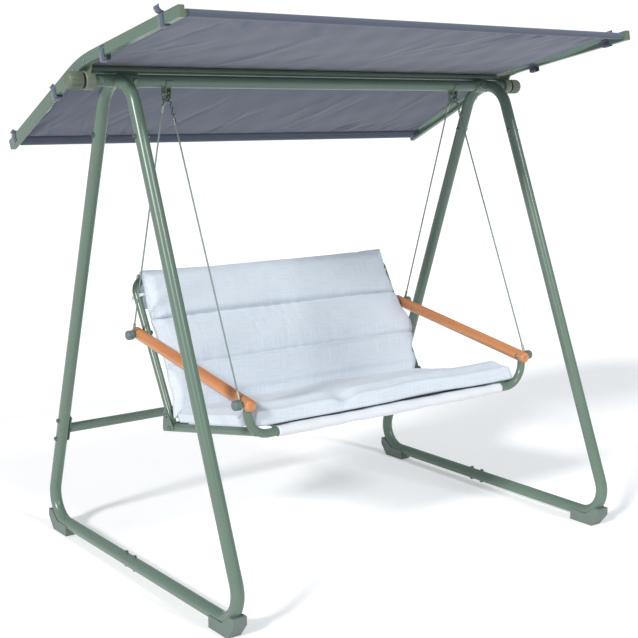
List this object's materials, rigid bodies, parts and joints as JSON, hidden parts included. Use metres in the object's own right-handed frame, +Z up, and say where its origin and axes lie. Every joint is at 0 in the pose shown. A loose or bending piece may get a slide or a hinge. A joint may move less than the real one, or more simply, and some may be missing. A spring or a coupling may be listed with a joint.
{
  "type": "canopy swing bench",
  "caption": "Hanging two-seat garden bench on steel cables under a tubular A-frame stand, with wooden armrests, cushions and a tilting fabric canopy.",
  "frame": {"origin": "on the ground under the middle of the stand", "axes": "+X across the bench to the right of a person facing it, +Y from front to back, +Z up"},
  "size_m": [1.956, 1.2634, 1.8008],
  "materials": {
    "frame_paint": "satin sage-green powder coat",
    "hub_paint": "satin grey-green powder coat",
    "dark_steel": "blackened bolts",
    "zinc_steel": "zinc plated",
    "foot_plastic": "moulded grey",
    "knob_plastic": "moulded grey-green",
    "sage_plastic": "moulded sage green",
    "nylon": "turned",
    "rubber": "matt",
    "cable_coat": "smooth coated wire rope",
    "armrest_wood": "clear satin varnish",
    "canopy_cloth": "plain weave polyester",
    "sling_cloth": "plain weave polyester",
    "cushion_cloth": "fine plain weave"
  },
  "bodies": {
    "stand": {"left_upper_arch": "frame_paint", "right_upper_arch": "frame_paint", "left_front_leg": "frame_paint", "right_front_leg": "frame_paint", "left_rear_leg": "frame_paint", "right_rear_leg": "frame_paint", "left_front_foot": "foot_plastic", "right_front_foot": "foot_plastic", "left_rear_foot": "foot_plastic", "right_rear_foot": "foot_plastic", "rear_crossbar": "frame_paint", "crossbar_bolts": "dark_steel", "leg_joint_bolts": "dark_steel", "base_joint_bolts": "dark_steel", "main_beam": "frame_paint", "beam_saddles": "frame_paint", "saddle_bolts": "dark_steel", "pivot_studs": "zinc_steel", "end_collars": "frame_paint", "collar_screws": "dark_steel", "hanger_brackets": "frame_paint", "hanger_pins": "zinc_steel"},
    "swing_seat": {"hanger_plates": "zinc_steel", "hanger_bushings": "nylon", "front_chains": "zinc_steel", "rear_shackles": "zinc_steel", "left_front_cable": "cable_coat", "right_front_cable": "cable_coat", "left_rear_cable": "cable_coat", "right_rear_cable": "cable_coat", "cable_terminals": "zinc_steel", "left_armrest": "armrest_wood", "right_armrest": "armrest_wood", "armrest_screws": "zinc_steel", "cable_bolts": "zinc_steel", "armrest_knobs": "knob_plastic", "front_u_rail": "frame_paint", "seat_frame": "frame_paint", "back_frame": "frame_paint", "seat_brackets": "frame_paint", "seat_bracket_bolts": "dark_steel", "seat_sling": "sling_cloth", "back_sling": "sling_cloth", "seat_cushion": "cushion_cloth", "back_cushion": "cushion_cloth"},
    "canopy": {"left_canopy_arm": "frame_paint", "right_canopy_arm": "frame_paint", "arm_end_caps": "sage_plastic", "left_canopy_hub": "hub_paint", "right_canopy_hub": "hub_paint", "arm_rivets": "zinc_steel", "friction_washers": "rubber", "ridge_bar": "frame_paint", "ridge_screws": "zinc_steel", "front_canopy_bar": "frame_paint", "rear_canopy_bar": "frame_paint", "canopy_fabric": "canopy_cloth", "canopy_straps": "canopy_cloth"},
    "left_knob": {"left_canopy_knob": "sage_plastic"},
    "right_knob": {"right_canopy_knob": "sage_plastic"}
  },
  "joints": [
    {"name": "seat_swing", "type": "hinge", "parent": "stand", "child": "swing_seat", "pos_m": [0, 0.038, 1.576], "axis": [1, 0, 0], "range_deg": [-25, 25]},
    {"name": "canopy_tilt", "type": "hinge", "parent": "stand", "child": "canopy", "pos_m": [0, 0.038, 1.613], "axis": [1, 0, 0], "range_deg": [-4, 36]},
    {"name": "left_knob_turn", "type": "hinge", "parent": "stand", "child": "left_knob", "pos_m": [-0.95, 0.038, 1.613], "axis": [1, 0, 0], "continuous": true},
    {"name": "right_knob_turn", "type": "hinge", "parent": "stand", "child": "right_knob", "pos_m": [0.95, 0.038, 1.613], "axis": [1, 0, 0], "continuous": true}
  ]
}
